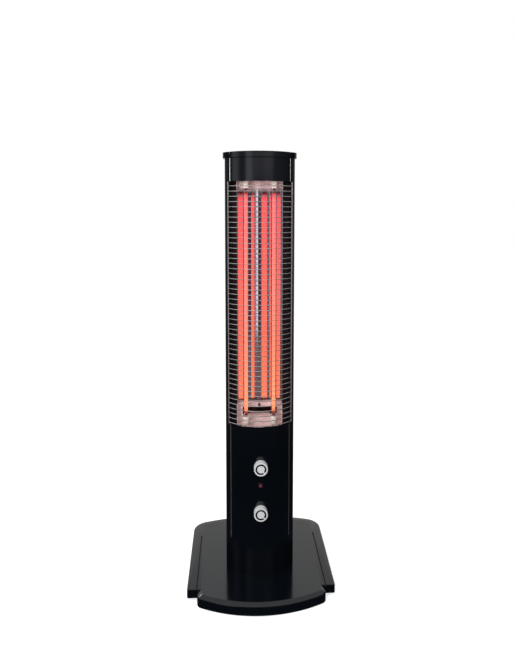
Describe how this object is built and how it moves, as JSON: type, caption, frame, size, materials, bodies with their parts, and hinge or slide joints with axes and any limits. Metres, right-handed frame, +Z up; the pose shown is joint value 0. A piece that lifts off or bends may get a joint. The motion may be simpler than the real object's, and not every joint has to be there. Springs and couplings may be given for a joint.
{
  "type": "tower heater",
  "caption": "Tall free-standing radiant heater: carbon lamps in a polished trough reflector behind a curved wire guard, between aluminium pillars, with knobs below, on a broad weighted base.",
  "frame": {"origin": "on the floor, under the middle of the base's box", "axes": "+Z up along the column, -Y towards the lamps and knobs, +X to the right seen from the front"},
  "size_m": [0.305, 0.323, 0.9154],
  "materials": {
    "gloss_black": "high gloss, piano black",
    "pillar_black": "gloss black on extruded aluminium",
    "housing_black": "satin black powder coat",
    "chamber_black": "heat-proof satin black",
    "zinc_steel": "bright zinc plate",
    "chromed_wire": "bright chromed wire",
    "reflector_aluminium": "mirror polished sheet",
    "quartz": "clear fused quartz",
    "glowing_carbon": "carbon, glowing orange red",
    "ceramic": "unglazed steatite",
    "lead_sleeve": "woven glass-fibre sleeve",
    "clip_steel": "heat-darkened spring steel",
    "rubber": "matte",
    "knob_aluminium": "turned, with a brushed face",
    "black_plastic": "fine-textured moulding",
    "red_lens": "clear red, lit from within"
  },
  "bodies": {
    "heater": {"ballast_plate": "zinc_steel", "base_moulding": "gloss_black", "base_screw_front_left": "zinc_steel", "base_screw_front_right": "zinc_steel", "base_screw_rear_left": "zinc_steel", "base_screw_rear_right": "zinc_steel", "bottom_frame": "zinc_steel", "chamber_floor": "zinc_steel", "chamber_top": "zinc_steel", "control_panel": "gloss_black", "cord_gland": "black_plastic", "foot_front_left": "rubber", "foot_front_right": "rubber", "foot_rear_left": "rubber", "foot_rear_right": "rubber", "indicator_holder": "black_plastic", "indicator_lens": "red_lens", "lamp_housing": "chamber_black", "left_carbon_element": "glowing_carbon", "left_lower_lamp_cap": "ceramic", "left_lower_lead": "lead_sleeve", "left_pillar": "pillar_black", "left_pillar_cap": "gloss_black", "left_quartz_tube": "quartz", "left_upper_lamp_cap": "ceramic", "left_upper_lead": "lead_sleeve", "lower_tube_clip": "clip_steel", "plinth": "gloss_black", "rear_housing": "housing_black", "rear_screw_lower_left": "zinc_steel", "rear_screw_lower_right": "zinc_steel", "rear_screw_upper_left": "zinc_steel", "rear_screw_upper_right": "zinc_steel", "reflector": "reflector_aluminium", "regulator_body": "black_plastic", "right_carbon_element": "glowing_carbon", "right_lower_lamp_cap": "ceramic", "right_lower_lead": "lead_sleeve", "right_pillar": "pillar_black", "right_pillar_cap": "gloss_black", "right_quartz_tube": "quartz", "right_upper_lamp_cap": "ceramic", "right_upper_lead": "lead_sleeve", "selector_body": "black_plastic", "terminal_block": "ceramic", "thermal_cutout": "black_plastic", "tip_switch_body": "black_plastic", "top_cap": "gloss_black", "top_frame": "zinc_steel", "top_front_panel": "gloss_black", "tower_bracket": "zinc_steel", "wire_guard": "chromed_wire"},
    "regulator_knob_body": {"regulator_shaft": "zinc_steel", "regulator_knob": "knob_aluminium", "regulator_knob_ring": "black_plastic"},
    "selector_knob_body": {"selector_shaft": "zinc_steel", "selector_knob": "knob_aluminium", "selector_knob_ring": "black_plastic"},
    "tip_plunger_body": {"tip_switch_plunger": "black_plastic"}
  },
  "joints": [
    {"name": "regulator_turn", "type": "hinge", "parent": "heater", "child": "regulator_knob_body", "pos_m": [0, -0.068, 0.2633], "axis": [0, 1, 0], "range_deg": [-270, 0]},
    {"name": "selector_turn", "type": "hinge", "parent": "heater", "child": "selector_knob_body", "pos_m": [0, -0.068, 0.1653], "axis": [0, 1, 0], "range_deg": [-180, 0]},
    {"name": "tip_plunger_slide", "type": "slide", "parent": "heater", "child": "tip_plunger_body", "axis": [0, 0, 1], "range_m": [-0.005, 0.001], "stiffness_N_per_m": 100, "springref_m": -0.008}
  ]
}
